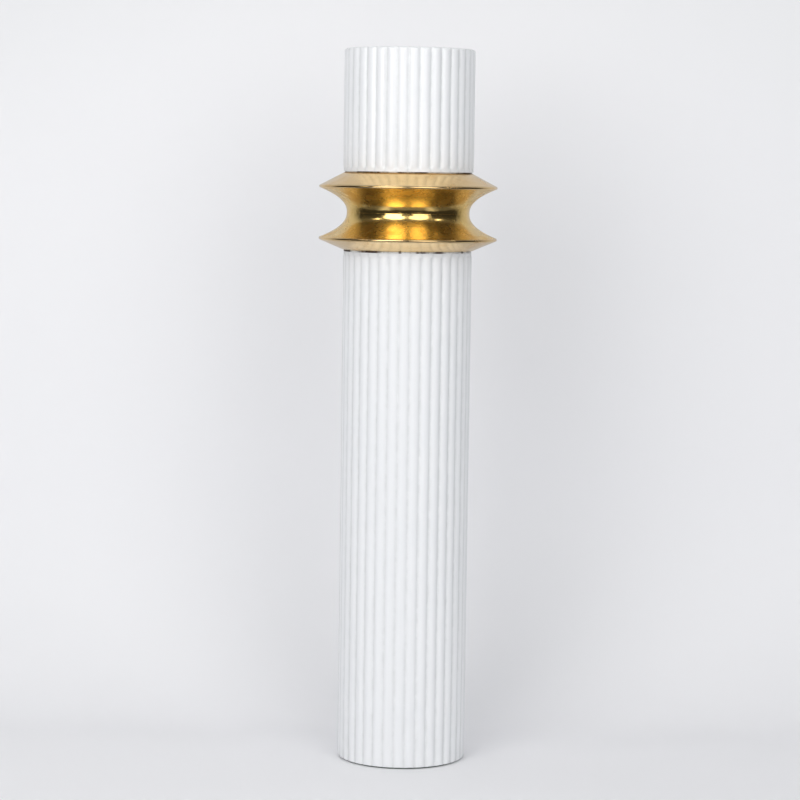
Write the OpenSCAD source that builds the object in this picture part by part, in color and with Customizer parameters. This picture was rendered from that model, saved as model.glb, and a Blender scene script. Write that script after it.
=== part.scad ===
// Altar candlestick: a white reeded column in two pieces with a spun brass collar between them,
// clamped by one tie rod, and a brass candle cup that lifts out of the top.
// Millimetres, +Z up. The origin is the centre of the foot, on the surface it stands on.

/* [Heights] */
// Thickness of the felt under the foot
felt_t = 1.5; // [0.8:0.1:4]
// Height of the reeded shaft
shaft_h = 515.3; // [360:0.1:700]
// Thickness of the packing ring between shaft and collar
lower_packing_t = 1.6; // [0.5:0.1:3]
// Height of the collar's lower cap, from its neck to the middle of the rim bead
lower_cap_h = 11.5; // [8:0.1:24]
// Height of the collar's throat, from the middle of one rim bead to the other
throat_h = 52.2; // [36:0.1:90]
// Height of the collar's upper cap
upper_cap_h = 14.2; // [8:0.1:24]
// Thickness of the packing ring between collar and drum
upper_packing_t = 1.0; // [0.5:0.1:3]
// Height of the reeded drum
drum_h = 122.7; // [100:0.1:180]

/* [Reeding] */
// Number of reeds round the shaft and the drum
reed_count = 36; // [24:1:48]
// Depth of the grooves between the reeds
reed_depth = 2.0; // [1:0.1:2.6]
// Radius of the shaft over its reeds
shaft_r = 65.0; // [62:0.5:80]
// Radius of the drum over its reeds
drum_r = 65.9; // [65:0.1:82]
// Angle of the first reed on the shaft
shaft_turn = -2; // [-5:0.5:5]
// Angle of the first reed on the drum, which was clamped a little off the shaft's reeds
drum_turn = 4; // [-5:0.5:5]
// Height of the plain band at the shaft's top and the drum's foot
band_h = 2.8; // [1:0.1:6]
// Depth of the plain band below the reeds
band_inset = 0.5; // [0.2:0.1:1.5]
// Chamfer on the free ends of the reeds
end_chamfer = 1.6; // [0.5:0.1:2.5]

/* [Collar] */
// Radius of the collar over its rim beads
collar_r = 90.0; // [84:0.5:110]
// Radius of the collar's waist
waist_r = 62.0; // [60:0.1:72]
// Radius of the neck where the upper cap meets the drum
upper_neck_r = 64.4; // [58:0.1:70]
// Radius of the neck where the lower cap meets the shaft
lower_neck_r = 65.2; // [58:0.1:70]
// Radius of the wire bead round each rim
bead_r = 1.6; // [1.2:0.1:3]
// Thickness of the spun brass sheet
sheet_t = 1.0; // [0.6:0.1:1.6]
// How quickly each bell flares, 2 is a parabola
flare = 2.3; // [1.8:0.1:2.8]
// How far the packing rings stand back from the necks
packing_inset = 0.8; // [0.4:0.1:3]

/* [Wood] */
// Radius of the bore through the shaft
bore_r = 34; // [26:0.5:35.5]
// Radius of the turned core inside the collar
core_r = 57; // [40:0.5:58]
// Radius of the spigots that centre the core in the shaft and the drum
spigot_r = 24; // [18:0.5:25]
// How far each spigot goes into its socket
spigot_l = 9; // [5:0.5:14]
// Thickness of the plug at the top of the shaft
head_plug_h = 32; // [24:1:60]
// Thickness of the foot plug
foot_plug_h = 24; // [20:1:40]
// Radius of the foot plug's flange
foot_flange_r = 44; // [38:0.5:45]
// Thickness of the foot plug's flange
foot_flange_h = 8; // [6:0.5:12]

/* [Foot] */
// Radius of the felt
felt_r = 61.5; // [56:0.5:64]
// Radius of the steel base plate
plate_r = 55.5; // [53:0.5:58]
// Thickness of the base plate
plate_t = 4; // [3:0.5:6]
// Number of countersunk screws in the base plate
screw_count = 4; // [3:1:8]
// Radius of the circle the screws stand on
screw_circle_r = 50; // [49:0.5:51]
// Radius of a screw's shank
screw_r = 2; // [1.5:0.25:2.5]
// Length of a screw
screw_l = 22; // [14:1:40]
// Height of the iron ballast
ballast_h = 150; // [60:5:260]

/* [Tie rod] */
// Radius of the tie rod
rod_r = 6; // [5:0.5:7]
// Nut width across its flats
nut_flats = 19; // [17:0.5:22]
// Height of a nut
nut_h = 10; // [8:0.5:12]
// Radius of a washer
washer_r = 14; // [12:0.5:15.5]
// Thickness of a washer
washer_t = 2.5; // [1.5:0.5:3]
// Length of rod standing past each nut
rod_tail = 3; // [1:0.5:4]

/* [Candle cup] */
// Radius of the well that the cup stands in
well_r = 57; // [55:0.5:60]
// Depth of the well
well_d = 46; // [44:0.5:60]
// Radius of the hollow below the well
hollow_r = 34; // [30:0.5:35.5]
// Thickness of the drum's floor
drum_floor = 28; // [24:0.5:36]
// Thickness of the felt ring under the pan
seat_t = 1.5; // [1:0.1:3]
// Width of the felt ring
seat_w = 6; // [3:0.5:7]
// Thickness of the pan and the socket
pan_t = 1.2; // [0.8:0.1:2]
// Depth of the pan's rim below the drum's rim
rim_below = 6; // [3:0.5:12]
// Radius of the round bend at the pan's floor
pan_bend = 5; // [3:0.5:8]
// Radius of the pan's rolled rim
roll_r = 1.4; // [1:0.1:2]
// Radius of the bore that the candle stands in
candle_r = 41; // [34:0.5:42]
// Height of the candle socket
socket_h = 33; // [20:0.5:34]
// Width of the socket's foot flange
socket_flange = 6.6; // [6:0.1:7]
// Radius of the socket's turned-out lip
lip_r = 1.2; // [1:0.1:1.6]
// Number of rivets through the socket's flange
rivet_count = 4; // [3:1:8]
// Radius of a rivet's shank
rivet_r = 1.4; // [1:0.1:1.6]

/* [Clearances] */
// Between parts that are glued or slid together inside the column
fit_gap = 0.2; // [0.1:0.05:0.4]
// Round the ballast and the tie rod
loose_gap = 0.6; // [0.4:0.1:1]
// Between the rim beads and the sheet edges soldered to them
seam_gap = 0.1; // [0.05:0.05:0.2]
// Between the pan and the wall of the well
pan_gap = 0.8; // [0.5:0.1:1.5]
// Between the pan and the felt it rests on
rest_gap = 0.3; // [0.3:0.1:0.5]

/* [Hidden] */
$fn = 96;
curve_steps = 14;
past = 1;
under_groove = 0.6;

white = "#f1f3f5";
bare_wood = "#c9a878";
gilt = "#b98a3a";
brass = "#b5934f";
steel = "#8f9398";
iron = "#4a4c4e";
felt_green = "#2f4a38";
packing_brown = "#3a2d24";

// Levels, from the floor up
shaft_z = felt_t;
collar_z = shaft_z + shaft_h + lower_packing_t;
lower_rim_z = collar_z + lower_cap_h;
waist_z = lower_rim_z + throat_h / 2;
upper_rim_z = lower_rim_z + throat_h;
collar_top = upper_rim_z + upper_cap_h;
drum_z = collar_top + upper_packing_t;
top_z = drum_z + drum_h;

plug_z = shaft_z + plate_t;
spigot_bottom = shaft_z + shaft_h - spigot_l;
spigot_top = drum_z + spigot_l;
nut_pocket_h = loose_gap + rod_tail + nut_h + washer_t;
foot_washer_z = plug_z + nut_pocket_h - washer_t;
drum_floor_z = drum_z + drum_floor;
rod_bottom = foot_washer_z - nut_h - rod_tail;
rod_top = drum_floor_z + washer_t + nut_h + rod_tail;

bead_at = collar_r - bead_r;
nut_r = nut_flats / 2 / cos(30);
lower_packing_r = min(shaft_r, lower_neck_r) - packing_inset;
upper_packing_r = min(drum_r, upper_neck_r) - packing_inset;

well_z = top_z - well_d;
seat_r = well_r - pan_gap;
pan_z = well_z + seat_t + rest_gap;
pan_r = well_r - pan_gap;
pan_wall_r = pan_r - roll_r / 2;
pan_h = top_z - rim_below - pan_z;
socket_z = pan_z + pan_t;
socket_out = candle_r + pan_t;
rivet_at = socket_out + socket_flange / 2;
rivet_head_ratio = 1.65;
rivet_head_r = rivet_head_ratio * rivet_r;
rivet_head_h = 0.8;

// --- Reeding ---------------------------------------------------------------

// Centre of the circle that passes over a reed's crest and into both its grooves
function reed_centre(r) =
    let (groove = r - reed_depth)
    (r * r - groove * groove) / (2 * (r - groove * cos(180 / reed_count)));

module reeded_outline(r, turn) {
    centre = reed_centre(r);
    circle(r = r - reed_depth - under_groove);
    for (i = [0 : reed_count - 1])
        rotate(turn + i * 360 / reed_count)
            translate([centre, 0])
                circle(r = r - centre, $fn = 48);
}

// A reeded cylinder with a plain band at one end and a chamfer at the other
module reeded_body(r, h, turn, band_at_top) {
    band_z = band_at_top ? h - band_h : 0;
    reed_z = band_at_top ? 0 : band_h;
    free_z = band_at_top ? 0 : h;
    intersection() {
        union() {
            translate([0, 0, reed_z])
                linear_extrude(height = h - band_h)
                    reeded_outline(r, turn);
            translate([0, 0, band_z])
                cylinder(r = r - band_inset, h = band_h);
        }
        if (band_at_top)
            chamfered_blank(r + past, h);
        else
            translate([0, 0, h])
                mirror([0, 0, 1])
                    chamfered_blank(r + past, h);
    }
}

// A plain cylinder whose lower end is chamfered just past the crests of the reeds
module chamfered_blank(r, h) {
    reach = end_chamfer + past;
    cylinder(r1 = r - reach, r2 = r, h = reach);
    translate([0, 0, reach])
        cylinder(r = r, h = h - reach);
}

// --- Spun collar -----------------------------------------------------------

bell_h = throat_h / 2 - bead_r;

function bell_radius(z) = waist_r + (bead_at - waist_r) * pow(z / bell_h, flare);
function bell_slope(z) = (bead_at - waist_r) * flare * pow(z / bell_h, flare - 1) / bell_h;
function bell_point(z, inward) =
    let (slope = bell_slope(z), n = sqrt(1 + slope * slope))
    [bell_radius(z) - inward / n, z + inward * slope / n];

// One half of the throat, flaring upwards from the waist at z = 0 to the rim bead
module bell() {
    outer = [for (i = [0 : curve_steps]) bell_point(bell_h * i / curve_steps, 0)];
    inner = [for (i = [curve_steps : -1 : 0]) bell_point(bell_h * i / curve_steps, sheet_t)];
    rotate_extrude()
        difference() {
            polygon(concat(outer, inner));
            translate([bead_at, throat_h / 2])
                circle(r = bead_r + seam_gap);
        }
}

// A straight conical cap that spreads downwards from its neck at z = h to the rim bead at z = 0
module cap(neck_r, h) {
    hole = spigot_r + fit_gap;
    top = [[hole, h], [neck_r, h], [bead_at, bead_r]];
    under = [for (i = [len(top) - 1 : -1 : 0]) [top[i][0], top[i][1] - sheet_t]];
    rotate_extrude()
        difference() {
            polygon(concat(top, under));
            translate([bead_at, 0])
                circle(r = bead_r + seam_gap);
        }
}

module rim_bead() {
    rotate_extrude()
        translate([bead_at, 0])
            circle(r = bead_r, $fn = 40);
}

module packing_ring(r, t) {
    difference() {
        cylinder(r = r, h = t);
        translate([0, 0, -past])
            cylinder(r = spigot_r + fit_gap, h = t + 2 * past);
    }
}

// --- Fasteners -------------------------------------------------------------

module rod_hole(z, h, gap) {
    translate([0, 0, z])
        cylinder(r = rod_r + gap, h = h);
}

module washer(z) {
    difference() {
        translate([0, 0, z])
            cylinder(r = washer_r, h = washer_t);
        rod_hole(z - past, washer_t + 2 * past, fit_gap);
    }
}

module nut(z) {
    difference() {
        translate([0, 0, z])
            cylinder(r = nut_r, h = nut_h, $fn = 6);
        rod_hole(z - past, nut_h + 2 * past, seam_gap);
    }
}

module around_screws() {
    for (i = [0 : screw_count - 1])
        rotate(45 + i * 360 / screw_count)
            translate([screw_circle_r, 0, 0])
                children();
}

// A countersunk screw, or the hole for one when gap is more than nothing
module screw(gap) {
    head_r = 2 * screw_r + gap;
    cylinder(r1 = head_r, r2 = screw_r + gap, h = head_r - screw_r - gap);
    cylinder(r = screw_r + gap, h = screw_l + gap);
}

// --- Foot ------------------------------------------------------------------

module base_felt() {
    color(felt_green)
        cylinder(r = felt_r, h = felt_t);
}

module base_plate() {
    color(steel)
        difference() {
            translate([0, 0, shaft_z])
                cylinder(r = plate_r, h = plate_t);
            translate([0, 0, shaft_z])
                around_screws() screw(fit_gap);
        }
}

module base_screws() {
    color(steel)
        translate([0, 0, shaft_z])
            around_screws() screw(0);
}

module foot_plug() {
    color(bare_wood)
        difference() {
            union() {
                translate([0, 0, plug_z])
                    cylinder(r = foot_flange_r, h = foot_flange_h);
                translate([0, 0, plug_z])
                    cylinder(r = bore_r - fit_gap, h = foot_plug_h);
            }
            translate([0, 0, plug_z - past])
                cylinder(r = washer_r + loose_gap, h = nut_pocket_h + past);
            rod_hole(plug_z, foot_plug_h + past, loose_gap);
        }
}

module foot_washer() {
    color(steel) washer(foot_washer_z);
}

module foot_nut() {
    color(steel) nut(foot_washer_z - nut_h);
}

module ballast_weight() {
    color(iron)
        difference() {
            translate([0, 0, plug_z + foot_plug_h])
                cylinder(r = bore_r - loose_gap, h = ballast_h);
            rod_hole(plug_z, foot_plug_h + ballast_h + past, loose_gap);
        }
}

// --- Shaft -----------------------------------------------------------------

module shaft() {
    color(white)
        difference() {
            translate([0, 0, shaft_z])
                reeded_body(shaft_r, shaft_h, shaft_turn, true);
            translate([0, 0, shaft_z - past])
                cylinder(r = bore_r, h = shaft_h + 2 * past);
            translate([0, 0, shaft_z - past])
                cylinder(r = plate_r + fit_gap, h = plate_t + past);
            translate([0, 0, plug_z - past])
                cylinder(r = foot_flange_r + fit_gap, h = foot_flange_h + past);
            translate([0, 0, shaft_z])
                around_screws()
                    cylinder(r = screw_r + seam_gap, h = screw_l + seam_gap);
        }
}

module head_plug() {
    plug_top = shaft_z + shaft_h;
    color(bare_wood)
        difference() {
            translate([0, 0, plug_top - head_plug_h])
                cylinder(r = bore_r - fit_gap, h = head_plug_h);
            translate([0, 0, spigot_bottom - fit_gap])
                cylinder(r = spigot_r + fit_gap, h = spigot_l + fit_gap + past);
            rod_hole(plug_top - head_plug_h - past, head_plug_h, loose_gap);
        }
}

module tie_rod() {
    color(steel)
        translate([0, 0, rod_bottom])
            cylinder(r = rod_r, h = rod_top - rod_bottom);
}

// --- Collar ----------------------------------------------------------------

module lower_packing() {
    color(packing_brown)
        translate([0, 0, shaft_z + shaft_h])
            packing_ring(lower_packing_r, lower_packing_t);
}

module collar_lower_cap() {
    color(gilt)
        translate([0, 0, lower_rim_z])
            mirror([0, 0, 1])
                cap(lower_neck_r, lower_cap_h);
}

module collar_lower_bead() {
    color(gilt)
        translate([0, 0, lower_rim_z])
            rim_bead();
}

module collar_lower_bell() {
    color(gilt)
        translate([0, 0, waist_z])
            mirror([0, 0, 1])
                bell();
}

module collar_core() {
    color(bare_wood)
        difference() {
            union() {
                translate([0, 0, collar_z + sheet_t])
                    cylinder(r = core_r, h = collar_top - collar_z - 2 * sheet_t);
                translate([0, 0, spigot_bottom])
                    cylinder(r = spigot_r, h = spigot_top - spigot_bottom);
            }
            rod_hole(spigot_bottom - past, spigot_top - spigot_bottom + 2 * past, loose_gap);
        }
}

module collar_upper_bell() {
    color(gilt)
        translate([0, 0, waist_z])
            bell();
}

module collar_upper_bead() {
    color(gilt)
        translate([0, 0, upper_rim_z])
            rim_bead();
}

module collar_upper_cap() {
    color(gilt)
        translate([0, 0, upper_rim_z])
            cap(upper_neck_r, upper_cap_h);
}

module upper_packing() {
    color(packing_brown)
        translate([0, 0, collar_top])
            packing_ring(upper_packing_r, upper_packing_t);
}

// --- Drum ------------------------------------------------------------------

module drum() {
    color(white)
        difference() {
            translate([0, 0, drum_z])
                reeded_body(drum_r, drum_h, drum_turn, false);
            translate([0, 0, well_z])
                cylinder(r = well_r, h = well_d + past);
            translate([0, 0, drum_floor_z])
                cylinder(r = hollow_r, h = drum_h);
            translate([0, 0, drum_z - past])
                cylinder(r = spigot_r + fit_gap, h = spigot_l + fit_gap + past);
            rod_hole(drum_z, drum_floor + past, loose_gap);
        }
}

module drum_washer() {
    color(steel) washer(drum_floor_z);
}

module drum_nut() {
    color(steel) nut(drum_floor_z + washer_t);
}

// --- Candle cup ------------------------------------------------------------

module pan_seat() {
    color(felt_green)
        translate([0, 0, well_z])
            difference() {
                cylinder(r = seat_r, h = seat_t);
                translate([0, 0, -past])
                    cylinder(r = seat_r - seat_w, h = seat_t + 2 * past);
            }
}

// Quarter bend from the floor into the wall, centred on the inside of the bend
function bend_arc(r, at, up) = [for (a = [-90 : 15 : 0]) [at + r * cos(a), up + r * sin(a)]];

module drip_pan() {
    bend_at = pan_wall_r - pan_bend;
    wall_top = pan_h - roll_r;
    outside = bend_arc(pan_bend, bend_at, pan_bend);
    inside = bend_arc(pan_bend - pan_t, bend_at, pan_bend);
    backwards = [for (i = [len(inside) - 1 : -1 : 0]) inside[i]];
    color(brass)
        translate([0, 0, pan_z])
            difference() {
                rotate_extrude()
                    union() {
                        polygon(concat(
                            [[0, 0]], outside,
                            [[pan_wall_r, wall_top], [pan_wall_r - pan_t, wall_top]],
                            backwards, [[0, pan_t]]
                        ));
                        translate([pan_r - roll_r, wall_top])
                            circle(r = roll_r, $fn = 32);
                    }
                rivet_holes();
            }
}

module candle_socket() {
    lip_z = socket_h - lip_r;
    color(brass)
        difference() {
            translate([0, 0, socket_z])
                rotate_extrude()
                    union() {
                        translate([candle_r, 0])
                            square([pan_t, lip_z]);
                        translate([candle_r, 0])
                            square([pan_t + socket_flange, pan_t]);
                        translate([candle_r + lip_r, lip_z])
                            circle(r = lip_r, $fn = 32);
                    }
            translate([0, 0, pan_z])
                rivet_holes();
        }
}

module around_rivets() {
    for (i = [0 : rivet_count - 1])
        rotate(i * 360 / rivet_count)
            translate([rivet_at, 0, 0])
                children();
}

module rivet_holes() {
    around_rivets()
        translate([0, 0, -past])
            cylinder(r = rivet_r + seam_gap, h = 2 * pan_t + 2 * past);
}

module socket_rivets() {
    color(brass)
        translate([0, 0, pan_z])
            around_rivets() {
                translate([0, 0, -rivet_head_h])
                    cylinder(r = rivet_head_r, h = rivet_head_h);
                translate([0, 0, -rivet_head_h])
                    cylinder(r = rivet_r, h = 2 * pan_t + 2 * rivet_head_h);
                translate([0, 0, 2 * pan_t])
                    cylinder(r = rivet_head_r, h = rivet_head_h);
            }
}

base_felt();
base_plate();
base_screws();
foot_plug();
foot_washer();
foot_nut();
ballast_weight();
shaft();
head_plug();
tie_rod();
lower_packing();
collar_lower_cap();
collar_lower_bead();
collar_lower_bell();
collar_core();
collar_upper_bell();
collar_upper_bead();
collar_upper_cap();
upper_packing();
drum();
drum_washer();
drum_nut();
pan_seat();
drip_pan();
candle_socket();
socket_rivets();
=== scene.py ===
import math

import bmesh
import bpy
from mathutils import Matrix, Vector, noise


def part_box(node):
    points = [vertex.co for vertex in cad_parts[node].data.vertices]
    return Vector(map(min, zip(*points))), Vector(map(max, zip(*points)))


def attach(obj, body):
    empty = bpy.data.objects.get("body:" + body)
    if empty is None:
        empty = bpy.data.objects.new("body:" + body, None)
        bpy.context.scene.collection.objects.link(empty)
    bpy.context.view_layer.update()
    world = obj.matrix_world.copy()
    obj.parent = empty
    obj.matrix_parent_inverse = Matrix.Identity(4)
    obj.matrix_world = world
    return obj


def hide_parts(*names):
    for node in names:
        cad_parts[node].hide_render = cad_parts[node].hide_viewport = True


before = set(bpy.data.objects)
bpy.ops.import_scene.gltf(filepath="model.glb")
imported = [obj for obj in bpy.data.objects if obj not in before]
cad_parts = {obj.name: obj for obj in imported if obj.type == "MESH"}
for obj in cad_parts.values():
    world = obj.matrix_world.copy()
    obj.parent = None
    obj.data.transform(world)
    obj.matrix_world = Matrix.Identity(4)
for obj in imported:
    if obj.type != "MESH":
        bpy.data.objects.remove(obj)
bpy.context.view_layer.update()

MM = 0.001
TURN = 2 * math.pi

# ---------------------------------------------------------------------------
# Sizes, from the frame's own boxes wherever a box gives them
# ---------------------------------------------------------------------------

REEDS = 36
REED_DEPTH = 2.0 * MM
SHAFT_R = 65.0 * MM
DRUM_R = 65.9 * MM
SHAFT_TURN = math.radians(-2)
DRUM_TURN = math.radians(4)
BAND_H = 2.8 * MM
BAND_INSET = 0.5 * MM
FLARE = 2.3
SHEET = 1.0 * MM
FIT_GAP = 0.2 * MM
ROD_GAP = 0.6 * MM
BEAD_R = 1.6 * MM
WAIST_R = 62.0 * MM
UPPER_NECK_R = 64.4 * MM
LOWER_NECK_R = 65.2 * MM
PAN_T = 1.2 * MM
PAN_BEND = 5.0 * MM
ROLL_R = 1.4 * MM
LIP_R = 1.2 * MM
SOCKET_FLANGE = 6.6 * MM


def levels(node):
    """Lowest and highest z of a CAD node."""
    low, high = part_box(node)
    return low.z, high.z


def radius(node):
    """Largest radius of a round CAD node, from its box."""
    low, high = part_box(node)
    return max(high.x, -low.x, high.y, -low.y)


shaft_bottom, shaft_top = levels("shaft")
drum_bottom, drum_top = levels("drum")
lower_rim_z = sum(levels("collar_lower_bead")) / 2
upper_rim_z = sum(levels("collar_upper_bead")) / 2
waist_z = (lower_rim_z + upper_rim_z) / 2
collar_bottom = levels("collar_lower_cap")[0]
collar_top = levels("collar_upper_cap")[1]
collar_r = radius("collar_upper_bead")
bead_at = collar_r - BEAD_R
bell_h = (upper_rim_z - lower_rim_z) / 2 - BEAD_R
seat_low, seat_high = levels("pan_seat")
pan_low, pan_high = levels("drip_pan")
socket_low, socket_high = levels("candle_socket")
plate_low, plate_high = levels("base_plate")
spigot_low, spigot_high = levels("collar_core")
rod_r = radius("tie_rod")
drum_floor = levels("drum_washer")[0]
bore_r = 34.0 * MM
well_r = 57.0 * MM
spigot_r = 24.0 * MM
foot_flange_r = radius("foot_plug")
FOOT_FLANGE_H = 8.0 * MM

# ---------------------------------------------------------------------------
# Mesh helpers
# ---------------------------------------------------------------------------


def arc(centre, size, start, end, steps):
    """Points of an arc in the (radius, height) plane, angles in degrees."""
    points = []
    for i in range(steps + 1):
        a = math.radians(start + (end - start) * i / steps)
        points.append((centre[0] + size * math.cos(a), centre[1] + size * math.sin(a)))
    return points


def line(start, end, steps):
    """Points along a straight stretch, both ends kept."""
    return [
        (start[0] + (end[0] - start[0]) * i / steps, start[1] + (end[1] - start[1]) * i / steps)
        for i in range(steps + 1)
    ]


def lathe(profile, steps=192, ring=True):
    """Spins a closed ring outline, or an open one that starts and ends on the axis."""
    bm = bmesh.new()
    verts = [bm.verts.new((r, 0, z)) for r, z in profile]
    edges = [bm.edges.new(pair) for pair in zip(verts, verts[1:])]
    if ring:
        edges.append(bm.edges.new((verts[-1], verts[0])))
    bmesh.ops.spin(
        bm, geom=verts + edges, cent=(0, 0, 0), axis=(0, 0, 1),
        angle=TURN, steps=steps, use_merge=True,
    )
    bmesh.ops.remove_doubles(bm, verts=bm.verts, dist=1e-7)
    bmesh.ops.recalc_face_normals(bm, faces=bm.faces)
    return bm


def finish_piece(name, bm, body, materials, replaces=(), sharp=35):
    """Makes the mesh an object, smooth but for its sharp corners, and puts it on its body."""
    for face in bm.faces:
        face.smooth = True
    limit = math.radians(sharp)
    for edge in bm.edges:
        if len(edge.link_faces) == 2 and edge.calc_face_angle(0) > limit:
            edge.smooth = False
    mesh = bpy.data.meshes.new(name)
    bm.to_mesh(mesh)
    bm.free()
    piece = bpy.data.objects.new(name, mesh)
    bpy.context.scene.collection.objects.link(piece)
    for material in materials:
        mesh.materials.append(material)
    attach(piece, body)
    if replaces:
        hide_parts(*replaces)
    return piece


def smooth_step(x):
    x = min(1.0, max(0.0, x))
    return x * x * (3 - 2 * x)


def soft_min(a, b, k):
    h = min(1.0, max(0.0, 0.5 + 0.5 * (b - a) / k))
    return b + (a - b) * h - k * h * (1 - h)


def soft_max(a, b, k):
    return -soft_min(-a, -b, k)


def uneven(point, size, seed):
    """Smooth noise from -1 to 1 with bumps about size apart."""
    return noise.noise(Vector(point) / size + Vector((seed * 7.3, seed * 1.7, seed * 3.1)))


# ---------------------------------------------------------------------------
# Materials
# ---------------------------------------------------------------------------


def node_group(name, inputs, outputs):
    """A shader node group with float inputs and (name, socket type) outputs."""
    group = bpy.data.node_groups.new(name, "ShaderNodeTree")
    for label, default in inputs:
        made = group.interface.new_socket(label, in_out="INPUT", socket_type="NodeSocketFloat")
        made.default_value = default
    for label, kind in outputs:
        group.interface.new_socket(label, in_out="OUTPUT", socket_type=kind)
    return group, group.nodes.new("NodeGroupInput"), group.nodes.new("NodeGroupOutput")


def add(tree, kind, **values):
    """A node with its settings and its inputs' values by name."""
    node = tree.nodes.new(kind)
    for key, value in values.items():
        if key.startswith("set_"):
            setattr(node, key[4:], value)
        else:
            node.inputs[key.replace("_", " ")].default_value = value
    return node


def math_node(tree, operation, a, b=None, clamp=False):
    node = tree.nodes.new("ShaderNodeMath")
    node.operation = operation
    node.use_clamp = clamp
    for i, value in enumerate((a, b)):
        if value is None:
            continue
        if isinstance(value, (int, float)):
            node.inputs[i].default_value = value
        else:
            tree.links.new(value, node.inputs[i])
    return node.outputs[0]


def make_patches():
    """Blotches with soft edges, as tarnish, rubbed paint or grease leaves them."""
    group, given, out = node_group(
        "patches", [("Size", 0.02), ("Spread", 0.5), ("Softness", 0.1)], [("Mask", "NodeSocketFloat")]
    )
    links = group.links
    place = group.nodes.new("ShaderNodeTexCoord")
    texture = add(group, "ShaderNodeTexNoise", Detail=5.0, Roughness=0.6, Distortion=0.3)
    links.new(place.outputs["Object"], texture.inputs["Vector"])
    links.new(math_node(group, "DIVIDE", 1.0, given.outputs["Size"]), texture.inputs["Scale"])
    low = math_node(group, "SUBTRACT", given.outputs["Spread"], given.outputs["Softness"])
    high = math_node(group, "ADD", given.outputs["Spread"], given.outputs["Softness"])
    spread = group.nodes.new("ShaderNodeMapRange")
    spread.interpolation_type = "SMOOTHSTEP"
    links.new(texture.outputs["Fac"], spread.inputs["Value"])
    links.new(low, spread.inputs["From Min"])
    links.new(high, spread.inputs["From Max"])
    links.new(spread.outputs["Result"], out.inputs["Mask"])
    return group


def make_relief():
    """Two sizes of fine unevenness as one normal."""
    group, given, out = node_group(
        "relief",
        [("Size", 0.002), ("Depth", 0.0001), ("Fine Size", 0.0004), ("Fine Depth", 0.00002)],
        [("Normal", "NodeSocketVector")],
    )
    links = group.links
    place = group.nodes.new("ShaderNodeTexCoord")
    heights = []
    for size, depth in (("Size", "Depth"), ("Fine Size", "Fine Depth")):
        texture = add(group, "ShaderNodeTexNoise", Detail=3.0, Roughness=0.55)
        links.new(place.outputs["Object"], texture.inputs["Vector"])
        links.new(math_node(group, "DIVIDE", 1.0, given.outputs[size]), texture.inputs["Scale"])
        heights.append(math_node(group, "MULTIPLY", texture.outputs["Fac"], given.outputs[depth]))
    bump = add(group, "ShaderNodeBump", Strength=1.0, Distance=1.0)
    links.new(math_node(group, "ADD", heights[0], heights[1]), bump.inputs["Height"])
    links.new(bump.outputs["Normal"], out.inputs["Normal"])
    return group


def make_turning():
    """Fine rings round the column's axis, as a lathe or a spinning tool leaves them."""
    group, given, out = node_group(
        "turning", [("Pitch", 0.0008), ("Depth", 0.00002), ("Bumps", 0.006), ("Bump Depth", 0.0001)],
        [("Normal", "NodeSocketVector"), ("Lines", "NodeSocketFloat")],
    )
    links = group.links
    place = group.nodes.new("ShaderNodeTexCoord")
    parts = group.nodes.new("ShaderNodeSeparateXYZ")
    links.new(place.outputs["Object"], parts.inputs[0])
    flat = group.nodes.new("ShaderNodeCombineXYZ")
    links.new(parts.outputs[0], flat.inputs[0])
    links.new(parts.outputs[1], flat.inputs[1])
    reach = group.nodes.new("ShaderNodeVectorMath")
    reach.operation = "LENGTH"
    links.new(flat.outputs[0], reach.inputs[0])
    bearing = math_node(group, "ARCTAN2", parts.outputs[1], parts.outputs[0])
    track = group.nodes.new("ShaderNodeCombineXYZ")
    links.new(reach.outputs["Value"], track.inputs[0])
    links.new(parts.outputs[2], track.inputs[1])
    links.new(math_node(group, "MULTIPLY", bearing, 0.0012), track.inputs[2])
    rings = add(group, "ShaderNodeTexNoise", Detail=2.0, Roughness=0.6)
    links.new(track.outputs[0], rings.inputs["Vector"])
    links.new(math_node(group, "DIVIDE", 1.0, given.outputs["Pitch"]), rings.inputs["Scale"])
    bumps = add(group, "ShaderNodeTexNoise", Detail=2.0, Roughness=0.45)
    links.new(place.outputs["Object"], bumps.inputs["Vector"])
    links.new(math_node(group, "DIVIDE", 1.0, given.outputs["Bumps"]), bumps.inputs["Scale"])
    height = math_node(
        group, "ADD",
        math_node(group, "MULTIPLY", rings.outputs["Fac"], given.outputs["Depth"]),
        math_node(group, "MULTIPLY", bumps.outputs["Fac"], given.outputs["Bump Depth"]),
    )
    bump = add(group, "ShaderNodeBump", Strength=1.0, Distance=1.0)
    links.new(height, bump.inputs["Height"])
    links.new(bump.outputs["Normal"], out.inputs["Normal"])
    links.new(rings.outputs["Fac"], out.inputs["Lines"])
    return group


PATCHES = make_patches()
RELIEF = make_relief()
TURNING = make_turning()


def use(tree, group, **values):
    """Places a shared group in a material with the material's own values."""
    node = tree.nodes.new("ShaderNodeGroup")
    node.node_tree = group
    for key, value in values.items():
        node.inputs[key.replace("_", " ")].default_value = value
    return node


def blend_colour(tree, mask, first, second):
    """Mixes two colours, each a tuple or a socket, by a mask."""
    mix = tree.nodes.new("ShaderNodeMix")
    mix.data_type = "RGBA"
    tree.links.new(mask, mix.inputs["Factor"])
    for name, value in (("A", first), ("B", second)):
        socket = [s for s in mix.inputs if s.name == name and s.type == "RGBA"][0]
        if isinstance(value, tuple):
            socket.default_value = (*value, 1.0)
        else:
            tree.links.new(value, socket)
    return [s for s in mix.outputs if s.type == "RGBA"][0]


def between(tree, mask, low, high):
    """A value that runs from low to high as the mask runs from 0 to 1."""
    node = tree.nodes.new("ShaderNodeMapRange")
    tree.links.new(mask, node.inputs["Value"])
    node.inputs["To Min"].default_value = low
    node.inputs["To Max"].default_value = high
    return node.outputs["Result"]


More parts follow.
